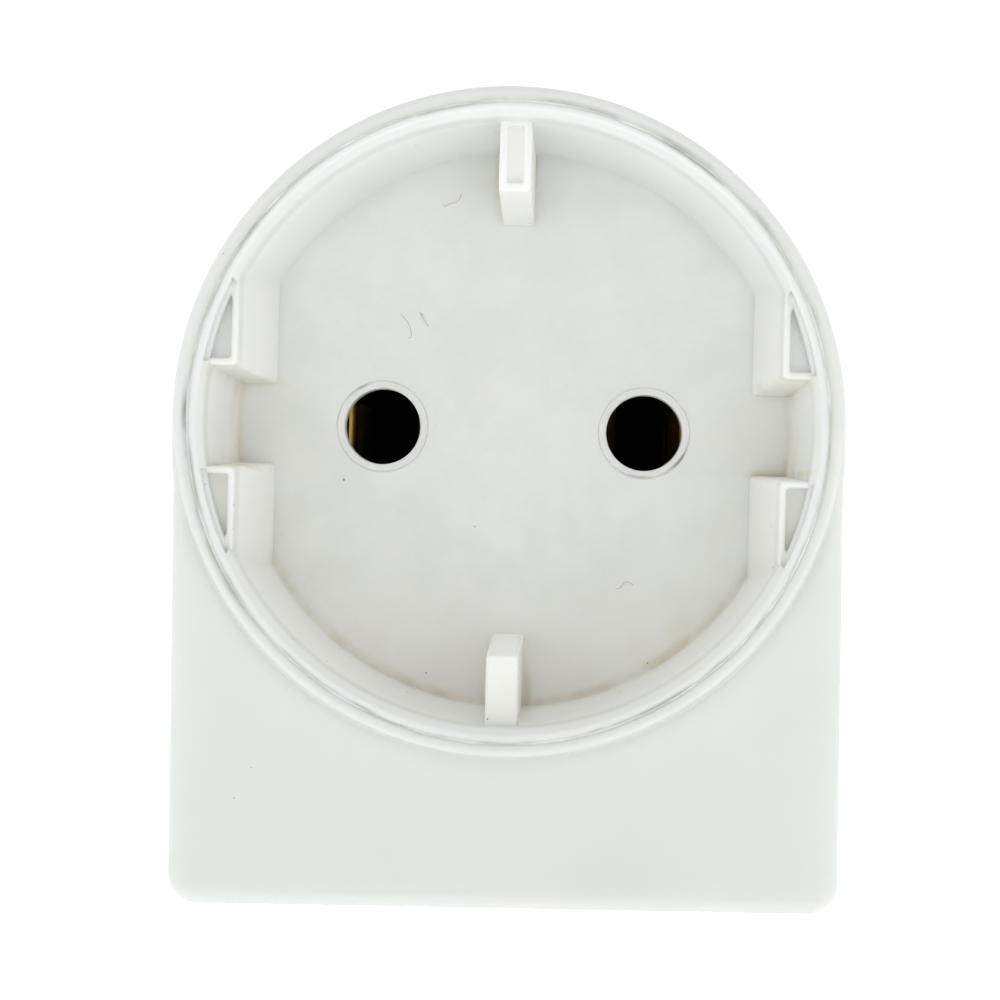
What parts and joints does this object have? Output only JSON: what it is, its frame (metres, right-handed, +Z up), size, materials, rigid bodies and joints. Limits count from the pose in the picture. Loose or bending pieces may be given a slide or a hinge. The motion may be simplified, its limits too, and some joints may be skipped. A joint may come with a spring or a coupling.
{
  "type": "powerline adapter",
  "caption": "Arch-shaped plug-in powerline adapter with a recessed round pass-through socket, a keyed plug boss, a network jack underneath and a sprung pairing button.",
  "frame": {"origin": "centre of the plug face that meets the bottom of a wall socket, midway between the two plug pins", "axes": "+Z up as plugged into a wall, with the round part on top; +Y out of the plug face along the pins; -Y is the front with the socket; +X to the right seen from the front"},
  "size_m": [0.0455, 0.0743, 0.0545],
  "materials": {
    "shell_white": "satin white moulded plastic, slightly aged",
    "insert_white": "satin white moulded plastic, grubby in the corners",
    "carrier_white": "off-white moulded plastic",
    "brass": "bare stamped brass",
    "nickel": "nickel-plated brass, drawn",
    "steel": "zinc-plated steel",
    "wire_brown": "brown PVC insulation",
    "wire_blue": "blue PVC insulation",
    "board_green": "green solder mask on glass-epoxy board",
    "fibre": "pressed fibre insulating sheet",
    "black_plastic": "black moulded plastic",
    "clear_plastic": "clear moulded plastic",
    "component_blue": "dipped blue coating",
    "component_yellow": "yellow moulded case",
    "ferrite": "dark sintered ferrite",
    "winding_tape": "yellow polyester tape",
    "chip_black": "black moulding compound",
    "aluminium": "extruded, bare",
    "lamp": "white moulded plastic"
  },
  "bodies": {
    "housing": {"front_shell": "shell_white", "rear_shell": "shell_white", "socket_insert": "insert_white", "contact_carrier": "black_plastic", "pin_retainer": "carrier_white", "contact_left": "brass", "contact_right": "brass", "busbar_left": "brass", "busbar_right": "brass", "plug_pin_left": "nickel", "plug_pin_right": "nickel", "screw_left": "steel", "screw_right": "steel", "retainer_screw": "steel", "live_wire": "wire_brown", "neutral_wire": "wire_blue", "main_board": "board_green", "insulation_sheet": "fibre", "mains_fuse": "black_plastic", "varistor": "component_blue", "x2_capacitor": "component_yellow", "y_capacitor": "component_blue", "line_choke": "component_yellow", "bridge_rectifier": "chip_black", "bulk_capacitor": "black_plastic", "power_transformer_core": "ferrite", "power_transformer_winding": "winding_tape", "optocoupler": "chip_black", "output_capacitor": "black_plastic", "coupling_transformer": "ferrite", "powerline_chip": "chip_black", "heat_sink": "aluminium", "memory_chip": "chip_black", "crystal_can": "steel", "ethernet_magnetics": "chip_black", "jack_housing": "black_plastic", "jack_shield": "nickel", "led_power": "lamp", "led_link": "lamp", "led_network": "lamp", "light_guide": "clear_plastic", "tact_switch": "black_plastic", "jack_contact_1": "brass", "jack_contact_2": "brass", "jack_contact_3": "brass", "jack_contact_4": "brass", "jack_contact_5": "brass", "jack_contact_6": "brass", "jack_contact_7": "brass", "jack_contact_8": "brass"},
    "button": {"pair_button": "shell_white", "switch_plunger": "lamp"}
  },
  "joints": [
    {"name": "pair_button_press", "type": "slide", "parent": "housing", "child": "button", "axis": [-1, 0, 0], "range_m": [0, 0.0006], "stiffness_N_per_m": 2000}
  ]
}
